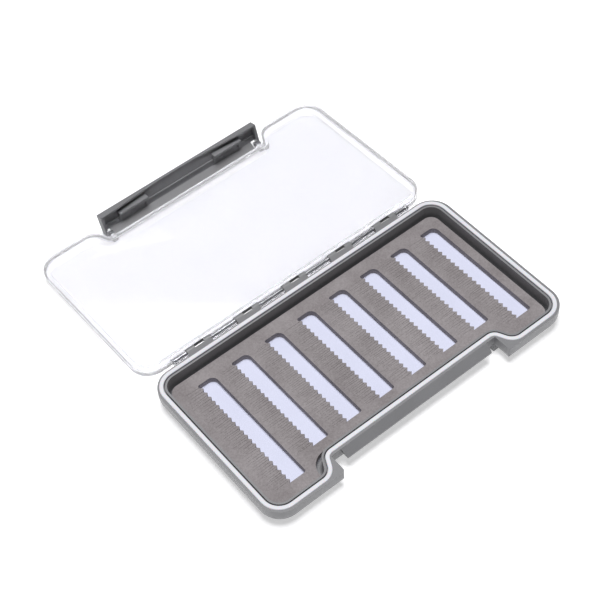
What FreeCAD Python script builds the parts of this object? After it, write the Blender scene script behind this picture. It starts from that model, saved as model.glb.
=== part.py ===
import FreeCAD, Part
import math
import os

V = FreeCAD.Vector
os.makedirs("parts", exist_ok=True)

# Frame, mm: the base stands on z = 0, x runs along the hinge, -y is the latch side.

# Seal line: the outer edge of the gasket, which every wall of the box follows
SEAL_X, SEAL_Y, SEAL_R = 91.1, 48.6, 10.8     # half length, half width, corner radius
BAY_Y = -38.4                                 # how deep the latch bay cuts into the front
BAY_X, BAY_R = 49.5, 3.4                      # arc at each inner end of the bay: centre, radius
WING_X, WING_R = 62.0, 8.7                    # arc where each side of the bay meets the front

# Base tray
RIM = 12.0                                    # height of the base rim
FLANGE, BACK_FLANGE = 1.15, 0.5               # rim left outside the gasket, and along the hinge
NOTCH_X, NOTCH_R = 51.5, 1.5                  # half width of the bay outside, rounding of its ends
FOOT_R = 8.0                                  # rounding under the walls
FLOOR, HOLLOW_R = 2.0, 1.5                    # floor thickness, rounding round its edge
GASKET_W, GASKET_PROUD, GASKET_GAP = 2.3, 0.4, 0.05
GROOVE_W, GROOVE_D = 2.95, 2.2
LIP_W = 1.0                                   # rib between the groove and the hollow
CATCH_X0, CATCH_X1, CATCH_Y = -45.6, 46.5, -43.6   # catch bar: ends and front face
CATCH_LOW, CATCH_TOP = RIM - 4.2, RIM - 0.1
CATCH_NOSE = 0.8                              # height of the bar's blunt front edge
CATCH_TAPER = 0.8                             # how much each end draws in towards the bottom

# Fly foam and the sheet it is stuck to
FOAM_INSET, FOAM_TOP, FOAM_T = 5.6, 6.0, 3.4
BITE_X, BITE_Y, BITE_R = 50.5, -41.1, 9.0     # round bite in the foam at each end of the bay
SHEET_T = 0.6
WINDOWS, WINDOW_PITCH = 8, 20.5
WINDOW_X, WINDOW_W = -63.0, 9.9               # straight edge of the first window, full width
WINDOW_BACK = 36.0
WINDOW_FRONT_END, WINDOW_FRONT_MID = -35.2, -26.8
WINDOW_HEEL, WINDOW_CORNER, WINDOW_ROUND = 1.4, 3.5, 1.0   # plain end of the toothed edge, roundings
TOOTH_PITCH, TOOTH_DEPTH = 3.12, 1.5

# Hinge
HINGE_Y, HINGE_Z = 51.8, RIM - 0.5
KNUCKLE_R, PIN_R, RUN_GAP = 1.9, 0.75, 0.06
KNUCKLES, KNUCKLE_PITCH, KNUCKLE_LEN = 5, 29.9, 14.4
END_KNUCKLE = 75.5                            # outer end of the last lid knuckle
KNUCKLE_GAP = 0.3
SLOT_LEN, SLOT_BACK, SLOT_FRONT, SLOT_SHIFT = 5.6, 1.1, 0.9, 0.5   # window that shows the pin
OPEN_ANGLE = 182.5                            # the open lid lies back until it meets the table

# Lid
LID_RIM, LID_H, LID_T, LID_WALL = RIM + 0.45, 6.0, 1.6, 3.0
LID_OUT = 0.6                                 # lid wall outside the seal line
LID_EDGE_R = 2.5

# Latch lever, drawn hooked shut
PIVOT_Y, PIVOT_Z, PIVOT_R = -42.5, RIM + 2.3, 1.1
LATCH_X, LATCH_FACE, LATCH_T = 51.2, -46.9, 1.2
LATCH_LOW, LATCH_LIP_T = RIM - 9.4, 0.8       # free edge of the lever, thickness of its flange
LATCH_LIP_END, LATCH_LIP_MID = -42.6, -45.2   # how far the flange reaches inward
LATCH_BOW_X = 41.5                            # where its bowed middle starts
LATCH_BEND, LATCH_TOP = PIVOT_Z - 1.1, PIVOT_Z + 3.0   # the bent-in back edge
LATCH_RIB, LATCH_RIB_T = RIM - 2.45, 0.7      # stiffening rib along the inside
LATCH_END_T = 1.5                             # thickness of the two end plates
LUG_X0, LUG_X1, LUG_R = 47.4, 50.0, 1.9
LUG_GAP = 0.3                                 # room beside and round each lug
CHEEK_T = 0.9                                 # lever beyond each lug
HOOK_X, HOOK_LEN, HOOK_TIP = 31.1, 18.2, -42.3
HOOK_TOP = CATCH_LOW - 0.25
HOOK_TIP_T, HOOK_ROOT_T, HOOK_RIB_T = 1.1, 1.9, 1.2
LATCH_REST = 12.0                             # how far the lever stands off its shut position


def box(x0, x1, y0, y1, z0, z1):
    """A block between two corners."""
    return Part.makeBox(x1 - x0, y1 - y0, z1 - z0, V(x0, y0, z0))


def rod(radius, x0, x1, y, z):
    """A round bar along x."""
    return Part.makeCylinder(radius, x1 - x0, V(x0, y, z), V(1, 0, 0))


def on_side(side, near, far):
    """The x span between two distances from the middle, on the side -1 or 1."""
    return sorted((side * near, side * far))


def arc(cx, cy, radius, a0, a1):
    """An arc between two angles in degrees, through the angle midway."""
    points = []
    for angle in (a0, (a0 + a1) / 2, a1):
        turn = math.radians(angle)
        points.append(V(cx + radius * math.cos(turn), cy + radius * math.sin(turn), 0))
    return Part.Arc(*points)


def seal_face(offset):
    """The seal outline grown by offset, as a flat face at z = 0."""
    wing_y, bay_y = -SEAL_Y + WING_R, BAY_Y - BAY_R
    run, rise = WING_X - BAY_X, wing_y - bay_y
    lean = math.atan2(rise, run) + math.acos((WING_R + BAY_R) / math.hypot(run, rise))
    turn = 90 - math.degrees(lean)
    corner_x, corner_y = SEAL_X - SEAL_R, SEAL_Y - SEAL_R
    corner_r, wing_r, bay_r = SEAL_R + offset, WING_R + offset, BAY_R - offset
    arcs = [
        arc(corner_x, corner_y, corner_r, 0, 90),
        arc(-corner_x, corner_y, corner_r, 90, 180),
        arc(-corner_x, -corner_y, corner_r, 180, 270),
        arc(-WING_X, wing_y, wing_r, 270, 270 + turn),
        arc(-BAY_X, bay_y, bay_r, 90 + turn, 90),
        arc(BAY_X, bay_y, bay_r, 90, 90 - turn),
        arc(WING_X, wing_y, wing_r, 270 - turn, 270),
        arc(corner_x, -corner_y, corner_r, 270, 360),
    ]
    edges = []
    for here, after in zip(arcs, arcs[1:] + arcs[:1]):
        edges.append(here.toShape())
        if (here.EndPoint - after.StartPoint).Length > 1e-4:
            edges.append(Part.makeLine(here.EndPoint, after.StartPoint))
    return Part.Face(Part.Wire(Part.__sortEdges__(edges)))


def seal_block(offset, z0, z1):
    """A block with the seal outline grown by offset."""
    face = seal_face(offset)
    face.translate(V(0, 0, z0))
    return face.extrude(V(0, 0, z1 - z0))


def edges_at(shape, z):
    """The edges that lie in one level plane."""
    return [e for e in shape.Edges if abs(e.BoundBox.ZMin - z) < 1e-6 and abs(e.BoundBox.ZMax - z) < 1e-6]


def extrude_x(points, x0, x1):
    """A polygon of (y, z) points drawn out along x."""
    corners = [V(x0, y, z) for y, z in points]
    return Part.Face(Part.makePolygon(corners + corners[:1])).extrude(V(x1 - x0, 0, 0))


def knuckle_spans():
    """The x spans of the base knuckles, then of the lid knuckles between and beyond them."""
    base = []
    for k in range(KNUCKLES):
        middle = (k - (KNUCKLES - 1) / 2) * KNUCKLE_PITCH
        base.append((middle - KNUCKLE_LEN / 2, middle + KNUCKLE_LEN / 2))
    stops = [-END_KNUCKLE - KNUCKLE_GAP] + [x for span in base for x in span] + [END_KNUCKLE + KNUCKLE_GAP]
    lid = []
    for left, right in zip(stops[0::2], stops[1::2]):
        lid.append((left + KNUCKLE_GAP, right - KNUCKLE_GAP))
    return base, lid


def foot_rounding(length, radius):
    """What is cut away to round the bottom edge of a wall that faces -y, along x."""
    block = box(-length / 2, length / 2, -1, radius, -1, radius)
    return block.cut(rod(radius, -length / 2, length / 2, radius, radius))


def notch_end(side, front_y):
    """What is cut away to round the upright corner where the bay meets the front."""
    x0, x1 = on_side(side, NOTCH_X, NOTCH_X + NOTCH_R)
    block = box(x0, x1, front_y, front_y + NOTCH_R, -1, RIM + 1)
    centre = V(side * (NOTCH_X + NOTCH_R), front_y + NOTCH_R, -2)
    return block.cut(Part.makeCylinder(NOTCH_R, RIM + 4, centre))


def base_body():
    """The outside of the tray: a rounded block with the latch bay cut from its front."""
    half_x, front_y, corner = SEAL_X + FLANGE, -SEAL_Y - FLANGE, SEAL_R + FLANGE
    body = box(-half_x, half_x, front_y, SEAL_Y + BACK_FLANGE, 0, RIM)
    upright = [e for e in body.Edges if abs(e.BoundBox.ZMax - e.BoundBox.ZMin - RIM) < 1e-6]
    body = body.makeFillet(corner, upright)
    body = body.makeFillet(FOOT_R, edges_at(body, 0))
    wall_y = BAY_Y - FLANGE
    body = body.cut(box(-NOTCH_X, NOTCH_X, front_y - 1, wall_y, -1, RIM + 1))
    rounding = foot_rounding(2 * NOTCH_X, FOOT_R)
    rounding.translate(V(0, wall_y, 0))
    body = body.cut(rounding)
    for side in (-1, 1):
        rounding = foot_rounding(2 * (wall_y - front_y), FOOT_R)
        rounding.rotate(V(0, 0, 0), V(0, 0, 1), -90 * side)
        rounding.translate(V(side * NOTCH_X, front_y, 0))
        body = body.cut(rounding).cut(notch_end(side, front_y))
    return body


def base_knuckle(x0, x1):
    """One hinge knuckle of the base, sloping down to the rim, with the slot that shows the pin."""
    root_y = SEAL_Y + BACK_FLANGE / 2
    back, rise = HINGE_Y - root_y, RIM - HINGE_Z
    touch = math.atan2(rise, back) + math.acos(KNUCKLE_R / math.hypot(back, rise))
    web = extrude_x([
        (root_y, HINGE_Z - KNUCKLE_R),
        (root_y, RIM),
        (HINGE_Y - KNUCKLE_R * math.cos(touch), HINGE_Z + KNUCKLE_R * math.sin(touch)),
        (HINGE_Y, HINGE_Z),
        (HINGE_Y, HINGE_Z - KNUCKLE_R),
    ], x0, x1)
    knuckle = rod(KNUCKLE_R, x0, x1, HINGE_Y, HINGE_Z).fuse(web)
    slot_x = (x0 + x1) / 2 + SLOT_SHIFT
    slot_x0, slot_x1 = slot_x - SLOT_LEN / 2, slot_x + SLOT_LEN / 2
    slot = box(slot_x0, slot_x1, HINGE_Y - SLOT_FRONT, HINGE_Y + SLOT_BACK, HINGE_Z - PIN_R, HINGE_Z + 3)
    return knuckle.cut(slot)


def catch_bar():
    """The ramp on the bay wall that the latch hooks under, a little shorter at the bottom."""
    wall_y = BAY_Y - FLANGE
    root_y = wall_y + FLANGE / 2
    bar = extrude_x([
        (root_y, CATCH_LOW),
        (CATCH_Y, CATCH_LOW),
        (CATCH_Y, CATCH_LOW + CATCH_NOSE),
        (wall_y, CATCH_TOP),
        (root_y, CATCH_TOP),
    ], CATCH_X0, CATCH_X1)
    corners = [
        V(CATCH_X0 + CATCH_TAPER, CATCH_Y - 1, CATCH_LOW),
        V(CATCH_X1 - CATCH_TAPER, CATCH_Y - 1, CATCH_LOW),
        V(CATCH_X1, CATCH_Y - 1, CATCH_TOP),
        V(CATCH_X0, CATCH_Y - 1, CATCH_TOP),
    ]
    front = Part.Face(Part.makePolygon(corners + corners[:1]))
    return bar.common(front.extrude(V(0, root_y - CATCH_Y + 2, 0)))


def base_shell():
    """The grey tray with its gasket groove, catch bar and hinge knuckles."""
    hollow = seal_block(-GROOVE_W - LIP_W, FLOOR, RIM + 1)
    hollow = hollow.makeFillet(HOLLOW_R, edges_at(hollow, FLOOR))
    groove = seal_block(0, RIM - GROOVE_D, RIM + 1).cut(seal_block(-GROOVE_W, RIM - GROOVE_D - 1, RIM + 2))
    body = base_body().cut(hollow).cut(groove).fuse(catch_bar())
    for x0, x1 in knuckle_spans()[0]:
        body = body.fuse(base_knuckle(x0, x1))
    body = body.cut(rod(PIN_R, -END_KNUCKLE, END_KNUCKLE, HINGE_Y, HINGE_Z))
    return body.removeSplitter()


def gasket():
    """The white silicone ring in the groove of the base."""
    low, high = RIM - GROOVE_D, RIM + GASKET_PROUD
    outer = seal_block(-GASKET_GAP, low, high)
    return outer.cut(seal_block(-GASKET_W, low - 1, high + 1))


def window_face(right, front):
    """One foam window: straight right edge, toothed left edge, rounded back corners."""
    left = right - WINDOW_W
    span = WINDOW_BACK - WINDOW_HEEL - front
    teeth = int(round(span / TOOTH_PITCH))
    step = span / teeth
    points = [V(left, front, 0)]
    for k in range(teeth):
        points.append(V(left + TOOTH_DEPTH, front + (k + 0.5) * step, 0))
        points.append(V(left, front + (k + 1) * step, 0))
    edges = [Part.makeLine(a, b) for a, b in zip(points, points[1:])]
    here = points[-1]
    for corner in (
        arc(left + WINDOW_ROUND, WINDOW_BACK - WINDOW_ROUND, WINDOW_ROUND, 180, 90),
        arc(right - WINDOW_CORNER, WINDOW_BACK - WINDOW_CORNER, WINDOW_CORNER, 90, 0),
        arc(right - WINDOW_ROUND, front + WINDOW_ROUND, WINDOW_ROUND, 0, -90),
    ):
        edges.append(Part.makeLine(here, corner.StartPoint))
        edges.append(corner.toShape())
        here = corner.EndPoint
    edges.append(Part.makeLine(here, points[0]))
    return Part.Face(Part.Wire(edges))


def foam_block(z0, z1):
    """A block with the foam's outline: the seal outline drawn in, with a bite at each end of the bay."""
    block = seal_block(-FOAM_INSET, z0, z1)
    for side in (-1, 1):
        block = block.cut(Part.makeCylinder(BITE_R, z1 - z0 + 2, V(side * BITE_X, BITE_Y, z0 - 1)))
    return block


def foam_insert():
    """The fly foam: a slab with a row of long windows, each toothed on its left edge."""
    slab = foam_block(FOAM_TOP - FOAM_T, FOAM_TOP)
    for k in range(WINDOWS):
        front = WINDOW_FRONT_END if k in (0, WINDOWS - 1) else WINDOW_FRONT_MID
        face = window_face(WINDOW_X + k * WINDOW_PITCH, front)
        face.translate(V(0, 0, FOAM_TOP - FOAM_T - 1))
        slab = slab.cut(face.extrude(V(0, 0, FOAM_T + 2)))
    return slab


def backing_sheet():
    """The white sheet between the foam and the floor of the tray."""
    return foam_block(FOAM_TOP - FOAM_T - SHEET_T, FOAM_TOP - FOAM_T)


def hinge_pin():
    """The steel wire through all the knuckles."""
    reach = END_KNUCKLE - 1.0
    return rod(PIN_R, -reach, reach, HINGE_Y, HINGE_Z)


def lid_lug(x0, x1):
    """A clear ear on the bay wall of the lid that carries one end of the latch pivot."""
    ring = rod(LUG_R, x0, x1, PIVOT_Y, PIVOT_Z)
    web = box(x0, x1, PIVOT_Y, BAY_Y + 0.5, PIVOT_Z - 1.5, PIVOT_Z + LUG_R)
    return ring.fuse(web)


def lid_shut():
    """The clear lid in its shut position."""
    top = LID_RIM + LID_H
    body = seal_block(LID_OUT, LID_RIM, top)
    body = body.makeFillet(LID_EDGE_R, edges_at(body, top))
    hollow = seal_block(LID_OUT - LID_WALL, LID_RIM - 1, top - LID_T)
    hollow = hollow.makeFillet(1.5, edges_at(hollow, top - LID_T))
    body = body.cut(hollow)
    back_wall = SEAL_Y + LID_OUT - LID_WALL / 2
    for x0, x1 in knuckle_spans()[1]:
        knuckle = rod(KNUCKLE_R, x0, x1, HINGE_Y, HINGE_Z)
        web = box(x0, x1, back_wall, HINGE_Y, LID_RIM, HINGE_Z + KNUCKLE_R)
        body = body.fuse(knuckle.fuse(web))
    body = body.cut(rod(PIN_R + RUN_GAP, -END_KNUCKLE + 1, END_KNUCKLE - 1, HINGE_Y, HINGE_Z))
    for side in (-1, 1):
        x0, x1 = on_side(side, LUG_X0, LUG_X1)
        body = body.fuse(lid_lug(x0, x1))
        body = body.cut(rod(PIVOT_R + RUN_GAP, x0 - 0.01, x1 + 0.01, PIVOT_Y, PIVOT_Z))
    return body.removeSplitter()


def latch_hook(middle):
    """One hook of the latch: a sloped bridge between two side ribs."""
    x0, x1 = middle - HOOK_LEN / 2, middle + HOOK_LEN / 2
    root = LATCH_FACE + LATCH_T / 2
    bridge = extrude_x([
        (root, HOOK_TOP),
        (HOOK_TIP, HOOK_TOP),
        (HOOK_TIP, HOOK_TOP - HOOK_TIP_T),
        (root, HOOK_TOP - HOOK_ROOT_T),
    ], x0, x1)
    rib = [(root, HOOK_TOP), (CATCH_Y - 0.3, HOOK_TOP), (root + 0.8, LATCH_BEND), (root, LATCH_BEND)]
    for left in (x0, x1 - HOOK_RIB_T):
        bridge = bridge.fuse(extrude_x(rib, left, left + HOOK_RIB_T))
    return bridge


def latch_flange():
    """The flange along the free edge of the lever, deepest at its ends."""
    bow = LATCH_LIP_END - LATCH_LIP_MID
    radius = (LATCH_BOW_X ** 2 + bow ** 2) / (2 * bow)
    flange = box(-LATCH_X, LATCH_X, LATCH_FACE, LATCH_LIP_END, LATCH_LOW, LATCH_LOW + LATCH_LIP_T)
    centre = V(0, LATCH_LIP_MID + radius, LATCH_LOW - 1)
    return flange.cut(Part.makeCylinder(radius, LATCH_LIP_T + 2, centre))


def latch_back():
    """The back edge of the lever between the lugs, bent in at 45 degrees over the bay."""
    inner, reach = LATCH_FACE + LATCH_T, LUG_X0 - LUG_GAP
    rise = LATCH_TOP - LATCH_BEND - LATCH_T / 2
    return extrude_x([
        (LATCH_FACE, LATCH_BEND),
        (inner, LATCH_BEND),
        (inner + rise, LATCH_BEND + rise),
        (LATCH_FACE + rise + LATCH_T / 2, LATCH_TOP),
        (LATCH_FACE, LATCH_BEND + LATCH_T / 2),
    ], -reach, reach)


def latch_end(side):
    """One end plate of the lever, and the thin cheek with the spigot that turns in the lug."""
    near, far = LUG_X1 + LUG_GAP, LUG_X1 + LUG_GAP + CHEEK_T
    cheek_span = on_side(side, near, far)
    cheek = box(*cheek_span, LATCH_FACE, PIVOT_Y, PIVOT_Z - PIVOT_R, PIVOT_Z + PIVOT_R)
    rim = box(*cheek_span, LATCH_FACE, LATCH_LIP_END, LATCH_LOW, PIVOT_Z - PIVOT_R)
    plate_span = on_side(side, LATCH_X - LATCH_END_T, LATCH_X)
    plate = box(*plate_span, LATCH_FACE, LATCH_LIP_END, LATCH_LOW, PIVOT_Z - LUG_R - 2 * LUG_GAP)
    spigot = rod(PIVOT_R, *on_side(side, LUG_X0, far), PIVOT_Y, PIVOT_Z)
    return plate.fuse(rim).fuse(cheek).fuse(spigot)


def latch_shut():
    """The lever hooked shut under the catch bar, lid closed."""
    inner = LATCH_FACE + LATCH_T
    body = box(-LATCH_X, LATCH_X, LATCH_FACE, inner, LATCH_LOW, LATCH_BEND)
    body = body.fuse(latch_back()).fuse(latch_flange())
    rib_depth = inner + LATCH_RIB_T
    body = body.fuse(box(-LATCH_X, LATCH_X, LATCH_FACE, rib_depth, LATCH_RIB, LATCH_RIB + LATCH_RIB_T))
    for side in (-1, 1):
        body = body.fuse(latch_end(side)).fuse(latch_hook(side * HOOK_X))
    return body.removeSplitter()


def open_out(shape, lever_angle=0.0):
    """Carry a part of the shut lid to the open position, the lever turned off its catch first."""
    if lever_angle:
        shape.rotate(V(0, PIVOT_Y, PIVOT_Z), V(1, 0, 0), -lever_angle)
    shape.rotate(V(0, HINGE_Y, HINGE_Z), V(1, 0, 0), -OPEN_ANGLE)
    return shape


parts = {
    "base_shell": base_shell(),
    "gasket": gasket(),
    "foam_insert": foam_insert(),
    "backing_sheet": backing_sheet(),
    "hinge_pin": hinge_pin(),
    "lid": open_out(lid_shut()),
    "latch_lever": open_out(latch_shut(), LATCH_REST),
}

for name, shape in parts.items():
    solid, = shape.Solids
    solid.exportStep("parts/" + name + ".step")
    print(name, solid.isValid(), round(solid.Volume))
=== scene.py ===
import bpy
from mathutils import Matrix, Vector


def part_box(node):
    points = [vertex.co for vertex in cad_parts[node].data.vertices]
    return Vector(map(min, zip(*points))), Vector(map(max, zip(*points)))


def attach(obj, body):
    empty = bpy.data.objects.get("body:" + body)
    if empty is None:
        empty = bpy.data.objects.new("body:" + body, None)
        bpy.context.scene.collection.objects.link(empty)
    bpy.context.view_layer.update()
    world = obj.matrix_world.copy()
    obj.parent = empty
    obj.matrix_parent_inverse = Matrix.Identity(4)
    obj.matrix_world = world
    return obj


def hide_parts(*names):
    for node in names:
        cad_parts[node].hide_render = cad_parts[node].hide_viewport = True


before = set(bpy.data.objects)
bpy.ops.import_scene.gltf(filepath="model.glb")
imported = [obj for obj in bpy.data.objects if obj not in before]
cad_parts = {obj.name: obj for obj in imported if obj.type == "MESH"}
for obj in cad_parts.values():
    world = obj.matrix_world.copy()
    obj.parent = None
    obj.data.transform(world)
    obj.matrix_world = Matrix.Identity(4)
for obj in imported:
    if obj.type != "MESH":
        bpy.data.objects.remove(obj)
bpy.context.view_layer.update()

import math
import random

import bmesh
import bpy
from mathutils import Quaternion, Vector

MM = 0.001

# Camera: where the photographer stood, what the lens points at, and how the camera is tipped
CAMERA_AT = Vector((-259.5, -322.9, 576.8)) * MM
CAMERA_AIM = Vector((-2.4, 44.3, 6.0)) * MM
CAMERA_ROLL = math.radians(5.04)
LENS = 86.65

# Light: a softbox high overhead, a weak one behind, the room and the lit table
LIGHT_AIM = Vector((0.0, 0.05, 0.0))
KEY_AT, KEY_SIZE, KEY_POWER = Vector((0.0, 0.05, 2.0)), 0.9, 38.0
BACK_AT, BACK_SIZE, BACK_POWER = Vector((0.1, 0.6, 1.0)), 0.4, 0.8
ROOM_LIGHT = 0.06
TABLE_CENTRE, TABLE_HALF = Vector((0.0, 0.05, -0.02 * MM)), 3.0
TABLE_GLOW = 0.47

# Opacity of the clear plastic: the share that is drawn as glass, the rest being left out
CLEAR_ALPHA = 0.78

# Edge rounding of each refined piece, and the segments in it
ROUNDINGS = {
    "base_shell": (0.22 * MM, 2),
    "gasket": (0.6 * MM, 4),
    "foam_insert": (0.2 * MM, 2),
    "lid": (0.35 * MM, 3),
    "latch_lever": (0.25 * MM, 2),
}
SHARP = math.radians(28)
FLAT, SAME_PLACE = math.radians(0.4), 0.002 * MM

# Colours of the two grey mouldings, darkest and lightest
TRAY_GREY = (0.225, 0.225, 0.235), (0.25, 0.25, 0.262)
LEVER_GREY = (0.215, 0.215, 0.225), (0.24, 0.24, 0.252)

# Knife slits in the foam, which start at the toothed left edges of its windows
WINDOWS, WINDOW_PITCH = 8, 20.5 * MM
WINDOW_X, WINDOW_W = -63.0 * MM, 9.9 * MM
WINDOW_BACK = 36.0 * MM
WINDOW_FRONT_END, WINDOW_FRONT_MID = -35.2 * MM, -26.8 * MM
STRIP_W = WINDOW_PITCH - WINDOW_W
SLIT_PITCH, SLIT_W, SLIT_D = 1.3 * MM, 0.16 * MM, 1.0 * MM
SLIT_START, SLIT_LEAN = 0.2 * MM, 0.4 * MM
SLIT_REACH, SLIT_WIDTHS, SLIT_GAPS = (0.6, 0.97), (0.6, 1.0), (0.75, 1.25)   # shares, least and most


# ---------------------------------------------------------------- materials

class Nodes:
    """A short way to build one material's node tree."""

    def __init__(self, name):
        self.material = bpy.data.materials.new(name)
        self.material.use_nodes = True
        self.tree = self.material.node_tree
        self.shader = self.tree.nodes["Principled BSDF"]
        self.place = self.add("ShaderNodeTexCoord").outputs["Object"]

    def add(self, kind, **settings):
        node = self.tree.nodes.new(kind)
        for name, value in settings.items():
            setattr(node, name, value)
        return node

    def link(self, source, target):
        self.tree.links.new(source, target)

    def constants(self, **values):
        """Sets values on the shader's own sockets."""
        for name, value in values.items():
            self.shader.inputs[name.replace("_", " ")].default_value = value

    def stretched(self, scale):
        """Object coordinates scaled by three numbers."""
        mapping = self.add("ShaderNodeMapping")
        mapping.inputs["Scale"].default_value = scale
        self.link(self.place, mapping.inputs["Vector"])
        return mapping.outputs["Vector"]

    def noise(self, scale, detail=3.0, where=None, roughness=0.5):
        node = self.add("ShaderNodeTexNoise")
        node.inputs["Scale"].default_value = scale
        node.inputs["Detail"].default_value = detail
        node.inputs["Roughness"].default_value = roughness
        self.link(where or self.place, node.inputs["Vector"])
        return node.outputs["Fac"]

    def ramp(self, fac, stops):
        node = self.add("ShaderNodeValToRGB")
        ramp = node.color_ramp
        while len(ramp.elements) < len(stops):
            ramp.elements.new(0.5)
        for element, (at, colour) in zip(ramp.elements, stops):
            element.position = at
            element.color = (*colour, 1.0)
        self.link(fac, node.inputs["Fac"])
        return node.outputs["Color"]

    def span(self, fac, low, high):
        """A value from 0..1 spread over low..high."""
        node = self.add("ShaderNodeMapRange")
        node.inputs["To Min"].default_value = low
        node.inputs["To Max"].default_value = high
        self.link(fac, node.inputs["Value"])
        return node.outputs["Result"]

    def blend(self, first, second, share):
        """Two values mixed, with the given share of the second."""
        node = self.add("ShaderNodeMix")
        node.inputs["Factor"].default_value = share
        self.link(first, node.inputs["A"])
        self.link(second, node.inputs["B"])
        return node.outputs["Result"]

    def bump(self, height, distance, strength=1.0, under=None):
        node = self.add("ShaderNodeBump")
        node.inputs["Distance"].default_value = distance
        node.inputs["Strength"].default_value = strength
        self.link(height, node.inputs["Height"])
        if under is not None:
            self.link(under, node.inputs["Normal"])
        return node.outputs["Normal"]


def moulded_plastic(name, dark, light, roughness):
    """Satin moulded plastic: a fine spark-eroded texture and faint flow shading."""
    m = Nodes(name)
    flow = m.noise(35.0, 2.0)
    m.link(m.ramp(flow, [(0.3, dark), (0.7, light)]), m.shader.inputs["Base Color"])
    m.link(m.span(m.noise(400.0), roughness - 0.05, roughness + 0.07), m.shader.inputs["Roughness"])
    texture = m.bump(m.noise(5200.0, 2.0), 0.02 * MM, 0.5)
    m.link(m.bump(m.noise(300.0, 2.0), 0.02 * MM, 0.3, texture), m.shader.inputs["Normal"])
    m.constants(Specular_IOR_Level=0.6)
    return m.material


def silicone():
    """Matte white silicone with a soft, faintly uneven skin."""
    m = Nodes("white_silicone")
    m.link(m.ramp(m.noise(90.0), [(0.3, (0.78, 0.78, 0.83)), (0.7, (0.82, 0.82, 0.865))]),
           m.shader.inputs["Base Color"])
    m.link(m.span(m.noise(700.0), 0.42, 0.58), m.shader.inputs["Roughness"])
    m.link(m.bump(m.noise(2600.0, 2.0), 0.01 * MM, 0.5), m.shader.inputs["Normal"])
    m.constants(Subsurface_Weight=0.08, Subsurface_Scale=1.0 * MM, Specular_IOR_Level=0.35)
    return m.material


def closed_cell_foam():
    """Grey-brown closed-cell foam: fine cells, a cloudy tone and almost no gloss."""
    m = Nodes("fly_foam")
    cloud = m.noise(60.0, 4.0)
    cells = m.add("ShaderNodeTexVoronoi")
    cells.inputs["Scale"].default_value = 2600.0
    m.link(m.place, cells.inputs["Vector"])
    mottle = m.blend(cloud, m.noise(1100.0, 4.0, None, 0.75), 0.6)
    m.link(m.ramp(mottle, [(0.35, (0.225, 0.203, 0.208)), (0.65, (0.36, 0.333, 0.342))]),
           m.shader.inputs["Base Color"])
    m.link(m.span(cloud, 0.85, 0.97), m.shader.inputs["Roughness"])
    m.link(m.bump(cells.outputs["Distance"], 0.06 * MM, 0.7), m.shader.inputs["Normal"])
    m.constants(Specular_IOR_Level=0.2, Sheen_Weight=0.1, Sheen_Roughness=0.6)
    return m.material


def white_board():
    """The white plastic sheet under the foam, faintly blue."""
    m = Nodes("white_board")
    m.link(m.ramp(m.noise(45.0), [(0.3, (0.69, 0.71, 0.88)), (0.7, (0.72, 0.74, 0.91))]),
           m.shader.inputs["Base Color"])
    m.link(m.span(m.noise(500.0), 0.5, 0.62), m.shader.inputs["Roughness"])
    m.link(m.bump(m.noise(3000.0), 0.01 * MM, 0.4), m.shader.inputs["Normal"])
    return m.material


def steel_wire():
    """Drawn steel wire: fine lines along its length."""
    m = Nodes("steel_wire")
    lines = m.noise(900.0, 3.0, m.stretched((0.02, 1.0, 1.0)))
    m.link(m.ramp(lines, [(0.3, (0.56, 0.56, 0.57)), (0.7, (0.70, 0.70, 0.71))]),
           m.shader.inputs["Base Color"])
    m.link(m.span(lines, 0.28, 0.42), m.shader.inputs["Roughness"])
    m.link(m.bump(lines, 0.01 * MM, 0.5), m.shader.inputs["Normal"])
    m.constants(Metallic=1.0)
    return m.material


def clear_plastic():
    """Clear moulded plastic with hairline scuffs."""
    m = Nodes("clear_plastic")
    scuffs = m.noise(240.0, 5.0, m.stretched((1.0, 0.15, 1.0)), 0.7)
    m.link(m.ramp(scuffs, [(0.3, (0.935, 0.935, 0.98)), (0.7, (0.955, 0.955, 0.988))]),
           m.shader.inputs["Base Color"])
    m.link(m.span(scuffs, 0.02, 0.07), m.shader.inputs["Roughness"])
    m.link(m.bump(m.noise(120.0, 2.0), 0.01 * MM, 0.3), m.shader.inputs["Normal"])
    m.constants(Transmission_Weight=1.0, IOR=1.49, Alpha=CLEAR_ALPHA)
    return m.material


# ---------------------------------------------------------------- pieces

def cleaned(node):
    """A copy of a CAD node's mesh with its flat facets merged into whole faces."""
    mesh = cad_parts[node].data.copy()
    work = bmesh.new()
    work.from_mesh(mesh)
    bmesh.ops.remove_doubles(work, verts=work.verts, dist=SAME_PLACE)
    bmesh.ops.dissolve_limit(work, angle_limit=FLAT, verts=work.verts, edges=work.edges)
    work.to_mesh(mesh)
    work.free()
    if "custom_normal" in mesh.attributes:
        mesh.attributes.remove(mesh.attributes["custom_normal"])
    for face in mesh.polygons:
        face.use_smooth = True
    return mesh


def refined(node):
    """A new piece in a CAD node's shape, with its sharp edges rounded."""
    piece = bpy.data.objects.new(node + "_body", cleaned(node))
    bpy.context.scene.collection.objects.link(piece)
    rounding = piece.modifiers.new("rounding", "BEVEL")
    rounding.width, rounding.segments = ROUNDINGS[node]
    rounding.limit_method = "ANGLE"
    rounding.angle_limit = SHARP
    rounding.harden_normals = True
    return piece


def dress(piece, material, body, node):
    """Give a piece its material, attach it to its body and hide the CAD node it stands for."""
    piece.data.materials.clear()
    piece.data.materials.append(material)
    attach(piece, body)
    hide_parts(node)


def paint(node, material):
    """Give a CAD node a new material."""
    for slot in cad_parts[node].material_slots:
        slot.material = material


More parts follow.
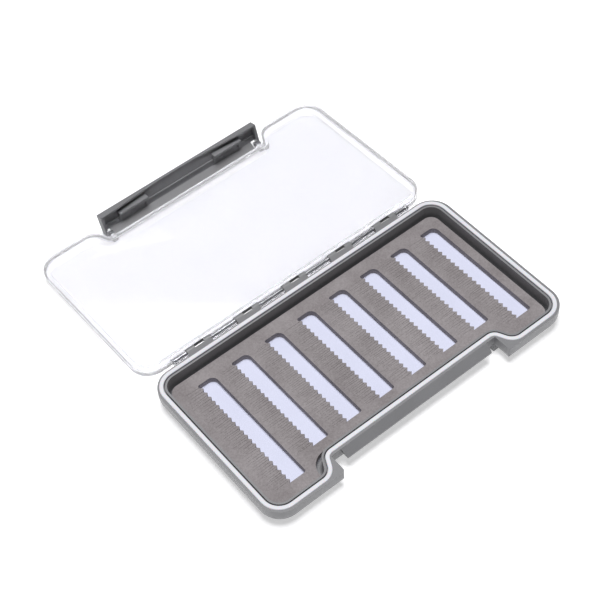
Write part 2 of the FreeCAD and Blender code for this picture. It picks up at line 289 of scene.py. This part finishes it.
def wedge(work, x0, x1, y0, y1, half, top):
    """A V-shaped bar from (x0, y0) to (x1, y1), wide above the foam and sharp at its bottom."""
    rings = []
    for x, y, width in ((x0, y0, half), (x1, y1, half / 3)):
        over = width * 1.2
        corners = ((over, 0.2 * SLIT_D), (-over, 0.2 * SLIT_D), (0.0, -SLIT_D))
        rings.append([work.verts.new((x, y + dy, top + dz)) for dy, dz in corners])
    near, far = rings
    work.faces.new(near)
    work.faces.new(reversed(far))
    for k in range(3):
        after = (k + 1) % 3
        work.faces.new((near[k], far[k], far[after], near[after]))


def slit_cutters(top):
    """Thin upright wedges, one for each knife slit that runs left from a toothed window edge."""
    chance = random.Random(7)
    mesh = bpy.data.meshes.new("slit_cutters")
    work = bmesh.new()
    for window in range(WINDOWS):
        edge_x = WINDOW_X + window * WINDOW_PITCH - WINDOW_W
        front = WINDOW_FRONT_END if window in (0, WINDOWS - 1) else WINDOW_FRONT_MID
        y = front + SLIT_PITCH
        while y < WINDOW_BACK - SLIT_PITCH:
            length = STRIP_W * chance.uniform(*SLIT_REACH)
            lean = SLIT_LEAN * chance.uniform(-1.0, 1.0)
            half = SLIT_W * chance.uniform(*SLIT_WIDTHS) / 2
            wedge(work, edge_x + SLIT_START, edge_x - length, y, y + lean, half, top)
            y += SLIT_PITCH * chance.uniform(*SLIT_GAPS)
    work.to_mesh(mesh)
    work.free()
    return bpy.data.objects.new("slit_cutters", mesh)


def foam_insert():
    """The fly foam with its knife slits cut in."""
    piece = refined("foam_insert")
    cutters = slit_cutters(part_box("foam_insert")[1][2])
    bpy.context.scene.collection.objects.link(cutters)
    slits = piece.modifiers.new("slits", "BOOLEAN")
    slits.object = cutters
    slits.solver = "EXACT"
    view = bpy.context.evaluated_depsgraph_get()
    cut = bpy.data.meshes.new_from_object(piece.evaluated_get(view))
    piece.modifiers.clear()
    piece.data = cut
    bpy.data.objects.remove(cutters)
    return piece


def box_pieces():
    """Every piece of the box, dressed."""
    tray_plastic = moulded_plastic("grey_plastic", *TRAY_GREY, 0.36)
    lever_plastic = moulded_plastic("latch_plastic", *LEVER_GREY, 0.42)
    dress(refined("base_shell"), tray_plastic, "base", "base_shell")
    dress(refined("gasket"), silicone(), "base", "gasket")
    dress(foam_insert(), closed_cell_foam(), "base", "foam_insert")
    dress(refined("lid"), clear_plastic(), "lid", "lid")
    dress(refined("latch_lever"), lever_plastic, "latch", "latch_lever")
    paint("backing_sheet", white_board())
    paint("hinge_pin", steel_wire())


# ---------------------------------------------------------------- stage, light, camera

def floor():
    """A pale lit table, a hair below the box so that no two faces coincide."""
    mesh = bpy.data.meshes.new("table")
    quarters = (-1, -1), (1, -1), (1, 1), (-1, 1)
    corners = [TABLE_CENTRE + TABLE_HALF * Vector((x, y, 0.0)) for x, y in quarters]
    mesh.from_pydata(corners, [], [(0, 1, 2, 3)])
    table = bpy.data.objects.new("table", mesh)
    bpy.context.scene.collection.objects.link(table)
    m = Nodes("table_paint")
    m.link(m.ramp(m.noise(3.0), [(0.3, (0.80, 0.80, 0.815)), (0.7, (0.82, 0.82, 0.83))]),
           m.shader.inputs["Base Color"])
    m.constants(Roughness=0.8, Specular_IOR_Level=0.1, Emission_Color=(1.0, 1.0, 1.0, 1.0),
                Emission_Strength=TABLE_GLOW)
    mesh.materials.append(m.material)


def softbox(name, at, size, power):
    """A square soft light turned towards the box."""
    data = bpy.data.lights.new(name, "AREA")
    data.size = size
    data.energy = power
    light = bpy.data.objects.new(name, data)
    light.location = at
    light.rotation_euler = (LIGHT_AIM - at).to_track_quat("-Z", "Y").to_euler()
    bpy.context.scene.collection.objects.link(light)


def lighting():
    """A softbox high overhead, a weak one behind for sheen, and a dim room round them."""
    world = bpy.data.worlds.new("studio")
    world.use_nodes = True
    room = world.node_tree.nodes["Background"].inputs
    room["Color"].default_value = (1.0, 1.0, 1.0, 1.0)
    room["Strength"].default_value = ROOM_LIGHT
    bpy.context.scene.world = world
    softbox("overhead", KEY_AT, KEY_SIZE, KEY_POWER)
    softbox("behind", BACK_AT, BACK_SIZE, BACK_POWER)


def camera():
    """The photograph's viewpoint."""
    data = bpy.data.cameras.new("camera")
    data.lens = LENS
    eye = bpy.data.objects.new("camera", data)
    turn = (CAMERA_AIM - CAMERA_AT).to_track_quat("-Z", "Y")
    eye.rotation_mode = "QUATERNION"
    eye.rotation_quaternion = turn @ Quaternion((0.0, 0.0, 1.0), -CAMERA_ROLL)
    eye.location = CAMERA_AT
    bpy.context.scene.collection.objects.link(eye)
    bpy.context.scene.camera = eye


box_pieces()
floor()
lighting()
camera()
bpy.context.scene.view_settings.view_transform = "Standard"
